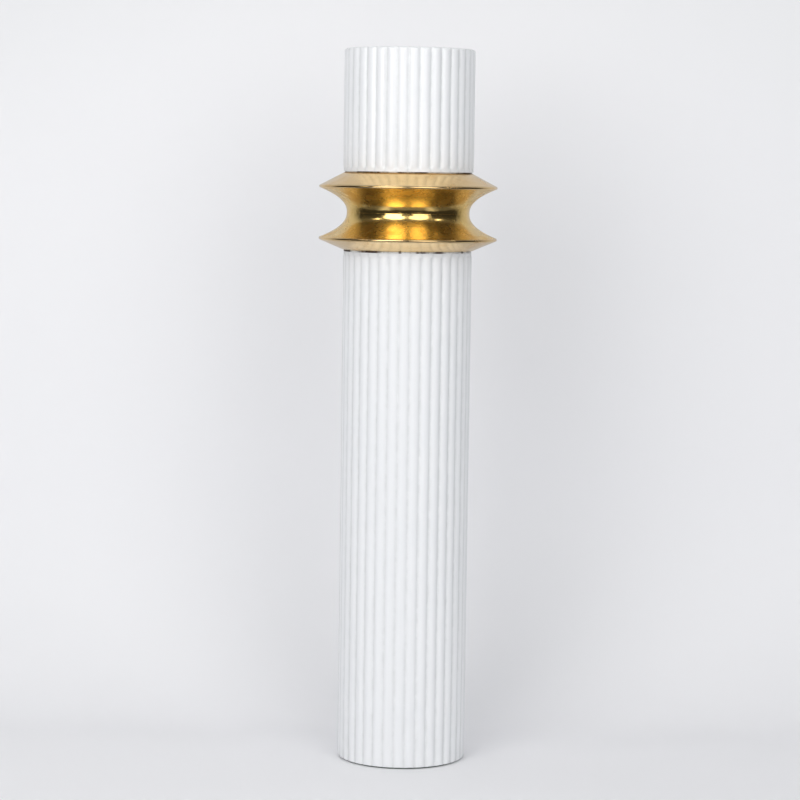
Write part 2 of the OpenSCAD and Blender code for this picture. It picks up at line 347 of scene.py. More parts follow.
def new_material(name, **constants):
    """A material whose plain values are set on its own Principled BSDF."""
    material = bpy.data.materials.new(name)
    material.use_nodes = True
    shader = material.node_tree.nodes["Principled BSDF"]
    for key, value in constants.items():
        shader.inputs[key.replace("_", " ")].default_value = value
    return material, material.node_tree, shader


def white_lacquer():
    material, tree, shader = new_material(
        "white_lacquer", Coat_Weight=0.5, Coat_Roughness=0.13, IOR=1.48
    )
    links = tree.links
    rubbed = use(tree, PATCHES, Size=0.035, Spread=0.56, Softness=0.12)
    groove = add(tree, "ShaderNodeAttribute", set_attribute_name="groove")
    groove_patchiness = use(tree, PATCHES, Size=0.012, Spread=0.5, Softness=0.2)
    # The reed grooves are painted darker grey: painted shade in the recesses, made patchy like settled dirt.
    groove_dirt_and_shade = math_node(tree, "MULTIPLY", groove.outputs["Fac"], between(tree, groove_patchiness.outputs[0], 0.35, 1.0))
    paint = blend_colour(tree, rubbed.outputs[0], (0.865, 0.875, 0.895), (0.85, 0.863, 0.885))
    links.new(blend_colour(tree, groove_dirt_and_shade, paint, (0.70, 0.71, 0.72)), shader.inputs["Base Color"])
    links.new(between(tree, rubbed.outputs[0], 0.30, 0.42), shader.inputs["Roughness"])
    skin = use(tree, RELIEF, Size=0.006, Depth=0.00012, Fine_Size=0.0009, Fine_Depth=0.00002)
    links.new(skin.outputs[0], shader.inputs["Normal"])
    return material


def wood(name, light, dark):
    """Turned timber: long grain up the column, with darker late wood."""
    material, tree, shader = new_material(name, IOR=1.45)
    links = tree.links
    place = tree.nodes.new("ShaderNodeTexCoord")
    stretch = tree.nodes.new("ShaderNodeMapping")
    stretch.inputs["Scale"].default_value = (90, 90, 9)
    links.new(place.outputs["Object"], stretch.inputs["Vector"])
    grain = add(tree, "ShaderNodeTexNoise", Scale=1.0, Detail=6.0, Roughness=0.65, Distortion=0.8)
    links.new(stretch.outputs[0], grain.inputs["Vector"])
    links.new(blend_colour(tree, grain.outputs["Fac"], light, dark), shader.inputs["Base Color"])
    links.new(between(tree, grain.outputs["Fac"], 0.55, 0.8), shader.inputs["Roughness"])
    cut = use(tree, TURNING, Pitch=0.0009, Depth=0.00006, Bumps=0.004, Bump_Depth=0.00003)
    links.new(cut.outputs["Normal"], shader.inputs["Normal"])
    return material


def spun_brass(name, bright, dull, rough, tarnish, bumps, throat=None):
    """Spun sheet brass: rings from the spinning tool, soft dents and a patchy tarnish.

    With a throat height the metal is brightest in the throat there and duller towards the flared rims.
    """
    material, tree, shader = new_material(name, Metallic=1.0)
    links = tree.links
    stain = use(tree, PATCHES, Size=0.018, Spread=tarnish, Softness=0.16)
    work = use(tree, TURNING, Pitch=0.0007, Depth=0.000003, Bumps=0.0035, Bump_Depth=bumps)
    links.new(blend_colour(tree, stain.outputs[0], bright, dull), shader.inputs["Base Color"])
    worn = math_node(tree, "MULTIPLY", work.outputs["Lines"], 0.06)
    level = math_node(tree, "ADD", between(tree, stain.outputs[0], rough, rough + 0.16), worn)
    if throat is not None:
        place = add(tree, "ShaderNodeSeparateXYZ")
        links.new(add(tree, "ShaderNodeTexCoord").outputs["Object"], place.inputs["Vector"])
        rise = math_node(tree, "SUBTRACT", place.outputs["Z"], throat)
        away = math_node(tree, "DIVIDE", math_node(tree, "ABSOLUTE", rise, 0.0), 0.011)
        flare = math_node(tree, "MINIMUM", math_node(tree, "POWER", away, 2.0), 1.0)
        level = math_node(tree, "ADD", level, math_node(tree, "MULTIPLY", flare, 0.10))
    links.new(level, shader.inputs["Roughness"])
    links.new(work.outputs["Normal"], shader.inputs["Normal"])
    return material


def plated_steel():
    material, tree, shader = new_material("plated_steel", Metallic=1.0)
    links = tree.links
    bloom = use(tree, PATCHES, Size=0.008, Spread=0.52, Softness=0.12)
    links.new(blend_colour(tree, bloom.outputs[0], (0.6, 0.61, 0.63), (0.4, 0.41, 0.42)), shader.inputs["Base Color"])
    links.new(between(tree, bloom.outputs[0], 0.28, 0.5), shader.inputs["Roughness"])
    scratches = use(tree, TURNING, Pitch=0.0005, Depth=0.00001, Bumps=0.003, Bump_Depth=0.00002)
    links.new(scratches.outputs["Normal"], shader.inputs["Normal"])
    return material


def cast_iron():
    material, tree, shader = new_material("cast_iron", Metallic=0.6)
    links = tree.links
    rust = use(tree, PATCHES, Size=0.02, Spread=0.58, Softness=0.08)
    links.new(blend_colour(tree, rust.outputs[0], (0.06, 0.06, 0.065), (0.16, 0.07, 0.035)), shader.inputs["Base Color"])
    links.new(between(tree, rust.outputs[0], 0.6, 0.85), shader.inputs["Roughness"])
    sand = use(tree, RELIEF, Size=0.003, Depth=0.0005, Fine_Size=0.0008, Fine_Depth=0.0001)
    links.new(sand.outputs[0], shader.inputs["Normal"])
    return material


def painted_packing():
    """Dark leather, with white paint dragged over it except where its bare mask is high."""
    material, tree, shader = new_material("painted_packing", IOR=1.4)
    links = tree.links
    scuffs = use(tree, PATCHES, Size=0.004, Spread=0.55, Softness=0.1)
    leather = blend_colour(tree, scuffs.outputs[0], (0.04, 0.026, 0.018), (0.15, 0.085, 0.045))
    bare = add(tree, "ShaderNodeAttribute", set_attribute_name="bare")
    edge = use(tree, PATCHES, Size=0.0022, Spread=0.5, Softness=0.22)
    torn = math_node(tree, "ADD", bare.outputs["Fac"], between(tree, edge.outputs[0], -0.25, 0.25), clamp=True)
    links.new(blend_colour(tree, torn, (0.80, 0.80, 0.79), leather), shader.inputs["Base Color"])
    links.new(between(tree, scuffs.outputs[0], 0.5, 0.85), shader.inputs["Roughness"])
    skin = use(tree, RELIEF, Size=0.0016, Depth=0.0003, Fine_Size=0.0005, Fine_Depth=0.00006)
    links.new(skin.outputs[0], shader.inputs["Normal"])
    return material


def pressed_felt():
    material, tree, shader = new_material("pressed_felt", Sheen_Weight=0.6, Sheen_Roughness=0.5, IOR=1.3)
    links = tree.links
    fluff = use(tree, PATCHES, Size=0.0012, Spread=0.5, Softness=0.25)
    links.new(blend_colour(tree, fluff.outputs[0], (0.045, 0.085, 0.06), (0.085, 0.14, 0.10)), shader.inputs["Base Color"])
    links.new(between(tree, fluff.outputs[0], 0.85, 1.0), shader.inputs["Roughness"])
    nap = use(tree, RELIEF, Size=0.0018, Depth=0.0004, Fine_Size=0.0005, Fine_Depth=0.00025)
    links.new(nap.outputs[0], shader.inputs["Normal"])
    return material


WHITE = white_lacquer()
BARE_WOOD = wood("bare_wood", (0.60, 0.43, 0.26), (0.40, 0.25, 0.13))
GILT = spun_brass("gilt_brass", (0.94, 0.68, 0.34), (0.88, 0.60, 0.27), 0.12, 0.60, 0.00003)
THROAT_GILT = spun_brass("gilt_brass_throat", (0.95, 0.67, 0.24), (0.90, 0.58, 0.16), 0.12, 0.60, 0.00003, waist_z)
CUP_BRASS = spun_brass("cup_brass", (0.74, 0.56, 0.28), (0.42, 0.28, 0.12), 0.22, 0.52, 0.00002)
STEEL = plated_steel()
IRON = cast_iron()
LEATHER = painted_packing()
FELT = pressed_felt()

# ---------------------------------------------------------------------------
# Reeded shaft and drum
# ---------------------------------------------------------------------------

STEPS_PER_REED = 12
REED_STEPS = REEDS * STEPS_PER_REED
END_ROUND = {"foot": 1.6 * MM, "rim": 2.8 * MM}
RUN_OUT = 2.4 * MM
UNDER_SKIN = 3.6 * MM
FLAW_AT = Vector((SHAFT_R * math.cos(math.radians(-72)), SHAFT_R * math.sin(math.radians(-72)), 15 * MM))
FLAW_R = 7 * MM
FOOT_FINE = 34 * MM


def reed_depth(angle, crest, turn):
    """How far the reeded surface lies below its crests at this angle."""
    pitch = TURN / REEDS
    off = (angle - turn + pitch / 2) % pitch - pitch / 2
    groove = crest - REED_DEPTH
    centre = (crest ** 2 - groove ** 2) / (2 * (crest - groove * math.cos(pitch / 2)))
    arc_r = crest - centre
    surface = centre * math.cos(off) + math.sqrt(arc_r ** 2 - (centre * math.sin(off)) ** 2)
    filled = soft_max(surface, groove + 0.12 * MM, 0.30 * MM)
    return crest - filled


def flaw(place):
    """The small patch of chipped and refilled paint low on the front."""
    reach = (Vector(place) - FLAW_AT).length / FLAW_R
    if reach > 1:
        return 0.0
    return 0.35 * MM * (1 - reach ** 2) * (0.5 + uneven(place, 0.0016, 9))


def reeded_skin(angle, z, crest, turn, bottom, top, band, free):
    """Radius of the painted skin: reeds, the plain band at one end and the rounded other end."""
    depth = reed_depth(angle, crest, turn)
    if band == "top":
        from_band = (top - BAND_H) - z
        from_free = z - bottom
    else:
        from_band = z - (bottom + BAND_H)
        from_free = top - z
    reeded = smooth_step(from_band / RUN_OUT)
    skin = crest - BAND_INSET + (BAND_INSET - depth) * reeded
    size = END_ROUND[free]
    if from_free < size:
        lift = math.sqrt(max(0.0, size ** 2 - (size - from_free) ** 2))
        skin = soft_min(skin, crest - size + lift, 0.5 * MM)
    reed = round((angle - turn) / (TURN / REEDS)) % REEDS
    place = (crest * math.cos(angle), crest * math.sin(angle), z)
    own = 0.05 * MM * uneven((reed * 3.1, 0, z / 0.3), 1.0, 2)
    skin += own + 0.07 * MM * uneven(place, 0.045, 1) + 0.014 * MM * uneven(place, 0.009, 3)
    skin -= flaw(place)
    return min(skin, crest), depth / REED_DEPTH


def reeded_profile(bottom, top, crest, size_bottom, size_top, rings):
    """The skin's rings from bottom to top, closer together where the ends round over."""
    low = [(crest, bottom + size_bottom * (1 - math.cos(math.radians(a)))) for a in range(0, 90, 15)]
    start = bottom + size_bottom + FOOT_FINE
    middle = line((crest, bottom + size_bottom), (crest, start), 20)[:-1]
    middle += line((crest, start), (crest, top - size_top), rings)
    high = [(crest, top - size_top * (1 - math.sin(math.radians(a)))) for a in range(15, 91, 15)]
    return low + middle + high


def reeded_piece(name, profile, crest, turn, bottom, top, band, free, inner_limit, replaces):
    bm = lathe(profile, REED_STEPS)
    groove = bm.verts.layers.float.new("groove")
    for vert in bm.verts:
        flat = math.hypot(vert.co.x, vert.co.y)
        if abs(flat - crest) > 1e-6:
            continue
        angle = math.atan2(vert.co.y, vert.co.x)
        skin, depth = reeded_skin(angle, vert.co.z, crest, turn, bottom, top, band, free)
        vert.co.x = skin * math.cos(angle)
        vert.co.y = skin * math.sin(angle)
        # Groove depth, which the lacquer uses for its painted shade in the grooves.
        vert[groove] = depth ** 2
    for face in bm.faces:
        middle = face.calc_center_median()
        if math.hypot(middle.x, middle.y) < inner_limit and middle.z < top - 12 * MM:
            face.material_index = 1
    return finish_piece(name, bm, "column", [WHITE, BARE_WOOD], replaces, sharp=50)


def make_shaft():
    inner = SHAFT_R - UNDER_SKIN
    plate_r = radius("base_plate") + FIT_GAP
    flange_r = foot_flange_r + FIT_GAP
    flange_z = plate_high + FOOT_FLANGE_H
    skin = reeded_profile(shaft_bottom, shaft_top, SHAFT_R, END_ROUND["foot"], BAND_H + RUN_OUT, 60)
    profile = skin + [
        (inner, shaft_top), (bore_r, shaft_top), (bore_r, flange_z), (flange_r, flange_z),
        (flange_r, plate_high), (plate_r, plate_high), (plate_r, shaft_bottom), (inner, shaft_bottom),
    ]
    return reeded_piece(
        "shaft_reeded", profile, SHAFT_R, SHAFT_TURN, shaft_bottom, shaft_top, "top", "foot",
        plate_r + 1 * MM, ["shaft"],
    )


def make_drum():
    inner = DRUM_R - UNDER_SKIN
    well_z = seat_low
    socket_top = spigot_high + FIT_GAP
    hole = rod_r + ROD_GAP
    skin = reeded_profile(drum_bottom, drum_top, DRUM_R, BAND_H + RUN_OUT, END_ROUND["rim"], 34)
    mouth = arc((well_r + 1.2 * MM, drum_top - 1.2 * MM), 1.2 * MM, 90, 180, 5)
    profile = skin + mouth + [
        (well_r, well_z), (bore_r, well_z), (bore_r, drum_floor), (hole, drum_floor),
        (hole, socket_top), (spigot_r + FIT_GAP, socket_top), (spigot_r + FIT_GAP, drum_bottom),
        (inner, drum_bottom),
    ]
    return reeded_piece(
        "drum_reeded", profile, DRUM_R, DRUM_TURN, drum_bottom, drum_top, "bottom", "rim",
        well_r + 0.5 * MM, ["drum"],
    )


make_shaft()
make_drum()

# ---------------------------------------------------------------------------
# Spun collar
# ---------------------------------------------------------------------------

COLLAR_STEPS = 288
WAIST_WORK = 5 * MM


def dent(bm, depth, size, seed):
    """Moves the metal in and out a little, as hand spinning leaves it."""
    for vert in bm.verts:
        flat = Vector((vert.co.x, vert.co.y, 0))
        if flat.length > 0:
            vert.co += flat.normalized() * depth * uneven(vert.co, size, seed)


def bell_point(h, inward):
    """A point of a bell at height h above the waist, sunk inward by part of the sheet."""
    spread = bead_at - WAIST_R
    across = WAIST_R + spread * (h / bell_h) ** FLARE
    slope = spread * FLARE * (h / bell_h) ** (FLARE - 1) / bell_h
    n = math.hypot(1, slope)
    return across - inward / n, h + inward * slope / n


def make_bell(name, direction, replaces):
    """Half of the throat, flaring away from the waist up (1) or down (-1)."""
    count = 30
    lip = 0.1 * MM
    top_h = bell_h - 0.1 * MM
    outside = [bell_point(top_h * i / count, 0) for i in range(1, count + 1)]
    inside = [bell_point(top_h * i / count, SHEET) for i in range(count, -1, -1)]
    start = arc((WAIST_R - lip, lip), lip, -90, 0, 3)
    profile = [(r, waist_z + direction * h) for r, h in start + outside + inside]
    bm = lathe(profile, COLLAR_STEPS)
    dent(bm, 0.10 * MM, 0.016, 5)
    for vert in bm.verts:
        near = math.exp(-((vert.co.z - waist_z) / WAIST_WORK) ** 2)
        flat = Vector((vert.co.x, vert.co.y, 0)).normalized()
        vert.co += flat * near * 0.12 * MM * (uneven(vert.co, 0.0035, 6) - 0.3)
    return finish_piece(name, bm, "column", [THROAT_GILT], [replaces])


def make_cap(name, rim_z, neck_r, neck_z, direction, replaces):
    """A straight cone between the neck and the rim bead, open in the middle for the spigot."""
    hole = spigot_r + FIT_GAP
    turn_r = 0.5 * MM
    rim = (bead_at - 0.1 * MM, rim_z + direction * (BEAD_R + 0.12 * MM))
    neck = (neck_r, neck_z)
    slope = math.hypot(rim[0] - neck[0], rim[1] - neck[1])
    along = ((rim[0] - neck[0]) / slope, (rim[1] - neck[1]) / slope)
    first = (neck[0] + along[0] * turn_r, neck[1] + along[1] * turn_r)
    outside = [(neck_r - turn_r, neck_z)] + [(neck_r - turn_r * 0.2, neck_z - direction * turn_r * 0.12)]
    outside += line(first, rim, 16)
    inside = [(r, z - direction * SHEET) for r, z in reversed(outside)]
    profile = [(hole, neck_z)] + outside + inside + [(hole, neck_z - direction * SHEET)]
    bm = lathe(profile, COLLAR_STEPS)
    dent(bm, 0.05 * MM, 0.02, 8)
    return finish_piece(name, bm, "column", [GILT], [replaces])


def make_bead(name, z, replaces):
    bm = lathe(arc((bead_at, z), BEAD_R - 0.03 * MM, 0, 345, 23), COLLAR_STEPS)
    return finish_piece(name, bm, "column", [GILT], [replaces])


make_bell("collar_upper_bell_spun", 1, "collar_upper_bell")
make_bell("collar_lower_bell_spun", -1, "collar_lower_bell")
make_cap("collar_upper_cap_spun", upper_rim_z, UPPER_NECK_R, collar_top, 1, "collar_upper_cap")
make_cap("collar_lower_cap_spun", lower_rim_z, LOWER_NECK_R, collar_bottom, -1, "collar_lower_cap")
make_bead("collar_upper_bead_wire", upper_rim_z, "collar_upper_bead")
make_bead("collar_lower_bead_wire", lower_rim_z, "collar_lower_bead")


def make_packing(name, node, squeezed, base, seed):
    """A leather ring with a torn edge, squeezed out and bare at the given (bearing, width, size) places."""
    low, high = levels(node)
    edge = radius(node)
    soft = (high - low) * 0.3
    profile = [(spigot_r + FIT_GAP, high), (edge - 6 * MM, high)]
    profile += arc((edge - soft, high - soft), soft, 90, 0, 3)
    profile += arc((edge - soft, low + soft), soft, 0, -90, 3)
    profile += [(edge - 6 * MM, low), (spigot_r + FIT_GAP, low)]
    bm = lathe(profile, 720)
    bare = bm.verts.layers.float.new("bare")
    for vert in bm.verts:
        flat = Vector((vert.co.x, vert.co.y, 0))
        if flat.length < edge - 2 * MM:
            vert[bare] = 1.0
            continue
        bearing = math.degrees(math.atan2(vert.co.x, -vert.co.y))
        lump = max(size * math.exp(-((bearing - at) / width) ** 2) for at, width, size in squeezed)
        torn = uneven(vert.co, 0.006, seed) + 0.6 * uneven(vert.co, 0.0022, seed + 1)
        vert.co += flat.normalized() * (0.5 * torn + 0.9 * lump) * MM
        vert[bare] = min(1.0, max(0.0, base + 1.6 * uneven(vert.co, 0.012, seed + 2) + 1.2 * lump))
    return finish_piece(name, bm, "column", [LEATHER], [node])


LOWER_GAPS = (
    (-6.5, 1.6, 1.0), (-2.0, 1.2, 0.7), (8.0, 2.4, 0.8), (58, 1.5, 0.8), (-45, 14, 0.5), (30, 5, 0.4),
    (118, 3, 0.8), (171, 9, 0.6), (-128, 5, 0.7), (-85, 4, 0.6),
)
UPPER_GAPS = (
    (-52, 3, 0.6), (-28, 2.5, 0.6), (1.5, 4.5, 0.5), (60, 16, 0.6), (140, 6, 0.5), (-110, 8, 0.6), (-160, 3, 0.7),
)
make_packing("lower_packing_ring", "lower_packing", LOWER_GAPS, 0.45, 11)
make_packing("upper_packing_ring", "upper_packing", UPPER_GAPS, 0.30, 14)

# ---------------------------------------------------------------------------
# Candle cup
# ---------------------------------------------------------------------------


def make_pan():
    wall_r = radius("drip_pan") - ROLL_R / 2
    bend_r = wall_r - PAN_BEND
    roll_at = (radius("drip_pan") - ROLL_R, pan_high - ROLL_R)
    under = arc((bend_r, pan_low + PAN_BEND), PAN_BEND, -90, 0, 8)
    inner = arc((bend_r, pan_low + PAN_BEND), PAN_BEND - PAN_T, 0, -90, 8)
    roll = arc(roll_at, ROLL_R, -45, 215, 14)
    profile = [(0, pan_low)] + under + roll + inner + [(0, pan_low + PAN_T)]
    bm = lathe(profile, 192, ring=False)
    dent(bm, 0.05 * MM, 0.03, 21)
    return finish_piece("drip_pan_spun", bm, "candle_cup", [CUP_BRASS], ["drip_pan"])


def make_socket():
    low, high = socket_low, socket_high
    candle_r = 41.0 * MM
    outer = candle_r + PAN_T
    flange_r = outer + SOCKET_FLANGE
    half = PAN_T / 2
    flange = arc((flange_r - half, low + half), half, -90, 90, 6)
    fillet = arc((outer + 1.0 * MM, low + PAN_T + 1.0 * MM), 1.0 * MM, -90, -180, 4)
    lip = arc((candle_r + LIP_R, high - LIP_R), LIP_R, 0, 180, 10)
    profile = [(candle_r, low)] + flange + fillet + [(outer, high - LIP_R)] + lip
    bm = lathe(profile, 192)
    return finish_piece("candle_socket_spun", bm, "candle_cup", [CUP_BRASS], ["candle_socket"])


def make_rivets():
    """Four set rivets through the socket's flange and the pan."""
    low, high = levels("socket_rivets")
    head_r = 2.3 * MM
    head_h = 0.8 * MM
    at = radius("socket_rivets") - head_r
    dome_r = (head_r ** 2 + head_h ** 2) / (2 * head_h)
    rise = math.degrees(math.asin(head_r / dome_r))
    top = arc((0, high - dome_r), dome_r, 90, 90 - rise, 5)
    foot = arc((0, low + dome_r), dome_r, -90 + rise, -90, 5)
    shank = 1.4 * MM
    profile = top + [(shank, high - head_h), (shank, low + head_h)] + foot
    whole = bmesh.new()
    for i in range(4):
        bm = lathe(profile, 24, ring=False)
        bmesh.ops.transform(bm, matrix=Matrix.Rotation(TURN * i / 4, 4, "Z") @ Matrix.Translation((at, 0, 0)), verts=bm.verts)
        part = bpy.data.meshes.new("rivet")
        bm.to_mesh(part)
        bm.free()
        whole.from_mesh(part)
        bpy.data.meshes.remove(part)
    return finish_piece("socket_rivets_domed", whole, "candle_cup", [CUP_BRASS], ["socket_rivets"])


make_pan()
make_socket()
make_rivets()

# ---------------------------------------------------------------------------
# Felt
# ---------------------------------------------------------------------------


def make_felt(name, node, inner):
    """Pressed felt with a soft cut edge."""
    low, high = levels(node)
    edge = radius(node)
    soft = (high - low) / 2 * 0.9
    rim = arc((edge - soft, high - soft), soft, 90, 0, 4) + arc((edge - soft, low + soft), soft, 0, -90, 4)
    start = line((inner, high), (edge - soft, high), 6)[:-1]
    back = line((edge - soft, low), (inner, low), 6)[1:]
    bm = lathe(start + rim + back, 256, ring=inner > 0)
    for vert in bm.verts:
        flat = Vector((vert.co.x, vert.co.y, 0))
        if flat.length > edge - 2 * MM:
            vert.co -= flat.normalized() * 0.25 * MM * abs(uneven(vert.co, 0.003, 31))
    return finish_piece(name, bm, "column", [FELT], [node])


make_felt("base_felt_pressed", "base_felt", 0)
make_felt("pan_seat_pressed", "pan_seat", radius("pan_seat") - 6 * MM)

# ---------------------------------------------------------------------------
# Pieces inside the column
# ---------------------------------------------------------------------------

THREAD_PITCH = 1.75 * MM
THREAD_DEPTH = 0.9 * MM
THREAD_L = 32 * MM
NUT_FLATS = 19 * MM
SMALL_EDGE = 0.4 * MM
HEAD_SOCKET = spigot_r + FIT_GAP
ROD_HOLE = rod_r + ROD_GAP


def broken(outline, size):
    """The outline of a spun piece with each of its corners broken by a small chamfer."""
    points = []
    count = len(outline)
    for i, corner in enumerate(outline):
        for other in (outline[i - 1], outline[(i + 1) % count]):
            run = math.hypot(other[0] - corner[0], other[1] - corner[1])
            share = min(size / run, 0.4)
            points.append((corner[0] + (other[0] - corner[0]) * share, corner[1] + (other[1] - corner[1]) * share))
    return points


def spun_part(name, node, outline, material, edge=SMALL_EDGE, rough=0.0, steps=144):
    """A turned or cast piece with broken edges, and a rough skin if it was cast."""
    rows = broken(outline, edge)
    if rough:
        rows = [p for a, b in zip(rows, rows[1:] + rows[:1]) for p in line(a, b, max(1, int(math.dist(a, b) / (3 * MM))))[:-1]]
    bm = lathe(rows, steps)
    for vert in bm.verts if rough else ():
        flat = Vector((vert.co.x, vert.co.y, 0))
        sign = -1 if flat.length > bore_r / 2 else 1
        vert.co += sign * flat.normalized() * rough * (0.5 + 0.5 * uneven(vert.co, 0.006, 41))
    return finish_piece(name, bm, "column", [material], [node])


def make_tie_rod():
    """Steel bar with a real spiral thread at both ends."""
    low, high = levels("tie_rod")
    edge = 1.0 * MM
    step = THREAD_PITCH / 6
    count = int(THREAD_L / step)
    foot = line((rod_r, low + edge), (rod_r, low + edge + THREAD_L), count)
    head = line((rod_r, high - edge - THREAD_L), (rod_r, high - edge), count)
    profile = [(0, low), (rod_r - edge, low)] + foot + head + [(rod_r - edge, high), (0, high)]
    bm = lathe(profile, 48, ring=False)
    for vert in bm.verts:
        flat = Vector((vert.co.x, vert.co.y, 0))
        inside = min(vert.co.z - low, high - vert.co.z)
        if flat.length < rod_r - 1e-6 or inside > THREAD_L:
            continue
        turned = (vert.co.z / THREAD_PITCH - math.atan2(vert.co.y, vert.co.x) / TURN) % 1
        cut = THREAD_DEPTH * abs(2 * turned - 1) * smooth_step((THREAD_L - inside) / (4 * MM))
        vert.co -= flat.normalized() * min(cut, THREAD_DEPTH * 0.86)
    return finish_piece("tie_rod_threaded", bm, "column", [STEEL], ["tie_rod"], sharp=60)


def make_nut(name, node):
    """Six-sided nut with its corners turned off at both faces."""
    low, high = levels(node)
    corner = NUT_FLATS / 2 / math.cos(math.pi / 6)
    face = NUT_FLATS / 2 * 0.96
    drop = (corner - face) * math.tan(math.radians(30))
    hole = rod_r + 0.1 * MM
    chamfer = 0.5 * MM
    profile = line((face, low), (corner, low + drop), 4) + line((corner, high - drop), (face, high), 4)
    profile += [(hole + chamfer, high), (hole, high - chamfer), (hole, low + chamfer), (hole + chamfer, low)]
    bm = lathe(profile, 144)
    for vert in bm.verts:
        reach = math.hypot(vert.co.x, vert.co.y)
        off = (math.atan2(vert.co.y, vert.co.x)) % (TURN / 6) - TURN / 12
        limit = NUT_FLATS / 2 / math.cos(off)
        if reach > limit:
            vert.co.x *= limit / reach
            vert.co.y *= limit / reach
    return finish_piece(name, bm, "column", [STEEL], [node], sharp=20)


def ring_outline(node, hole):
    low, high = levels(node)
    outer = radius(node)
    return [(hole, low), (outer, low), (outer, high), (hole, high)]


def make_wooden_parts():
    low, high = levels("foot_plug")
    pocket = 14.6 * MM
    pocket_top = levels("foot_washer")[1]
    body = bore_r - FIT_GAP
    foot = [
        (pocket, low), (foot_flange_r, low), (foot_flange_r, low + FOOT_FLANGE_H), (body, low + FOOT_FLANGE_H),
        (body, high), (ROD_HOLE, high), (ROD_HOLE, pocket_top), (pocket, pocket_top),
    ]
    spun_part("foot_plug_turned", "foot_plug", foot, BARE_WOOD)
    low, high = levels("head_plug")
    seat = spigot_low - FIT_GAP
    head = [
        (ROD_HOLE, low), (body, low), (body, high), (HEAD_SOCKET, high), (HEAD_SOCKET, seat), (ROD_HOLE, seat),
    ]
    spun_part("head_plug_turned", "head_plug", head, BARE_WOOD)
    core_r = radius("collar_core")
    core = [
        (ROD_HOLE, spigot_low), (spigot_r, spigot_low), (spigot_r, collar_bottom + SHEET),
        (core_r, collar_bottom + SHEET), (core_r, collar_top - SHEET), (spigot_r, collar_top - SHEET),
        (spigot_r, spigot_high), (ROD_HOLE, spigot_high),
    ]
    spun_part("collar_core_turned", "collar_core", core, BARE_WOOD)


make_tie_rod()
make_nut("foot_nut_hex", "foot_nut")
make_nut("drum_nut_hex", "drum_nut")
for washer in ("foot_washer", "drum_washer"):
    spun_part(washer + "_stamped", washer, ring_outline(washer, rod_r + FIT_GAP), STEEL, 0.35 * MM, steps=96)
spun_part(
    "ballast_cast", "ballast_weight", ring_outline("ballast_weight", ROD_HOLE), IRON, 2.0 * MM, 0.35 * MM,
)
make_wooden_parts()

for node in ("base_plate", "base_screws"):
    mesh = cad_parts[node].data
    mesh.materials.clear()
    mesh.materials.append(STEEL)

# ---------------------------------------------------------------------------
# Studio: one-sided sweep, soft lights, sky
# ---------------------------------------------------------------------------

WALL_Y = 0.34
SWEEP_R = 0.24
SWEEP_HALF = 1.5
SWEEP_FRONT = 1.2
SWEEP_TOP = 2.6
FADE_FROM = 0.78
FADE_TO = 1.15
UNDER_FOOT = 0.058
SKY_SEEN = (0.80, 0.81, 0.825)


